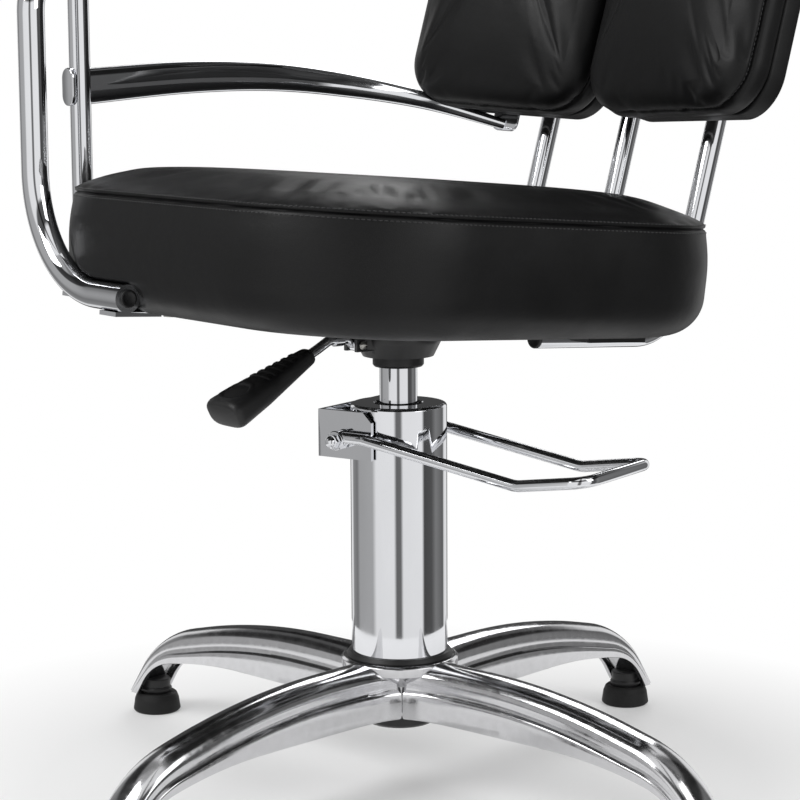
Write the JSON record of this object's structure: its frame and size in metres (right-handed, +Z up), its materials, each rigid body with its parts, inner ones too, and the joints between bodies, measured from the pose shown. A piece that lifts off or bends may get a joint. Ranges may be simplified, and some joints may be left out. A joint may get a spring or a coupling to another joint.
{
  "type": "threading chair",
  "caption": "Foot pumped swivel chair on a four legged cast base, with a split reclining backrest, an adjustable headrest and one arm frame.",
  "frame": {"origin": "on the floor under the column's axis", "axes": "+Z up, -Y the way the sitter faces, +X to the sitter's left"},
  "size_m": [0.736, 0.8115, 1.1883],
  "materials": {
    "cast_aluminium": "polished",
    "chrome": "polished",
    "zinc_steel": "zinc plated",
    "black_steel": "satin black",
    "black_plastic": "matt black",
    "rubber": "matt black",
    "black_board": "black backing board",
    "leatherette": "black grained leatherette"
  },
  "bodies": {
    "base": {"star_base": "cast_aluminium", "foot_glides": "rubber", "foot_stems": "black_plastic", "pump_lock_ring": "black_steel", "pump_cylinder": "zinc_steel", "pump_cover": "chrome", "base_ring": "black_plastic", "piston_guide": "black_plastic", "pedal_bracket": "chrome", "pedal_pivots": "zinc_steel", "pedal_cap_nuts": "chrome"},
    "pedal": {"pedal_bar": "chrome"},
    "ram": {"piston": "chrome", "piston_head": "zinc_steel"},
    "swivel": {"piston_collar": "black_plastic", "tilt_housing": "black_steel", "tilt_pin": "zinc_steel", "lever_pin": "zinc_steel", "tilt_bumpers": "rubber"},
    "lever": {"lever_rod": "chrome", "lever_sleeve": "chrome", "lever_grip": "black_plastic"},
    "headrest": {"headrest_stems": "chrome", "headrest_bracket": "black_steel", "headrest_screws": "zinc_steel", "headrest_board": "black_board", "headrest_cushion": "leatherette"},
    "seat": {"seat_plate": "black_steel", "seat_plate_screws": "zinc_steel", "arm_tube_front": "chrome", "arm_post": "chrome", "arm_tube_plugs": "black_plastic", "arm_straps": "chrome", "arm_strap_screws": "zinc_steel", "back_tubes": "chrome", "back_tube_plugs": "black_plastic", "back_saddle": "black_steel", "back_saddle_screws": "zinc_steel", "seat_board": "black_board", "seat_cushion": "leatherette", "arm_rail": "chrome", "arm_rail_cap": "chrome", "arm_pad_board": "black_plastic", "arm_pad_screws": "zinc_steel", "arm_pad": "leatherette", "back_panel_right": "black_board", "back_panel_left": "black_board", "back_cushion_right": "leatherette", "back_cushion_left": "leatherette", "back_spacers": "chrome", "back_spacer_bolts": "zinc_steel", "back_joint_plate": "black_steel", "back_rivets": "zinc_steel", "back_plate_bolts": "zinc_steel", "arm_rail_bolt": "zinc_steel", "headrest_guides": "black_plastic", "headrest_guide_screws": "zinc_steel"}
  },
  "joints": [
    {"name": "pump_slide", "type": "slide", "parent": "base", "child": "ram", "axis": [0, 0, 1], "range_m": [-0.02, 0.1]},
    {"name": "seat_turn", "type": "hinge", "parent": "ram", "child": "swivel", "pos_m": [0, 0, 0], "axis": [0, 0, 1], "continuous": true},
    {"name": "tilt_lever", "type": "hinge", "parent": "swivel", "child": "lever", "pos_m": [0, -0.049, 0.418], "axis": [-1, 0, 0], "range_deg": [0, 10], "stiffness_Nm_per_rad": 2, "springref_deg": -17.19},
    {"name": "seat_tilt", "type": "hinge", "parent": "swivel", "child": "seat", "pos_m": [0, 0.03, 0.4315], "axis": [-1, 0, 0], "range_deg": [0, 12]},
    {"name": "headrest_slide", "type": "slide", "parent": "seat", "child": "headrest", "axis": [0, 0.284, 0.9588], "range_m": [0, 0.08]},
    {"name": "pump_pedal", "type": "hinge", "parent": "base", "child": "pedal", "pos_m": [-0.02663, -0.00865, 0.33], "axis": [-0.309, 0.9511, 0], "range_deg": [0, 22], "stiffness_Nm_per_rad": 3, "springref_deg": -57.3}
  ]
}
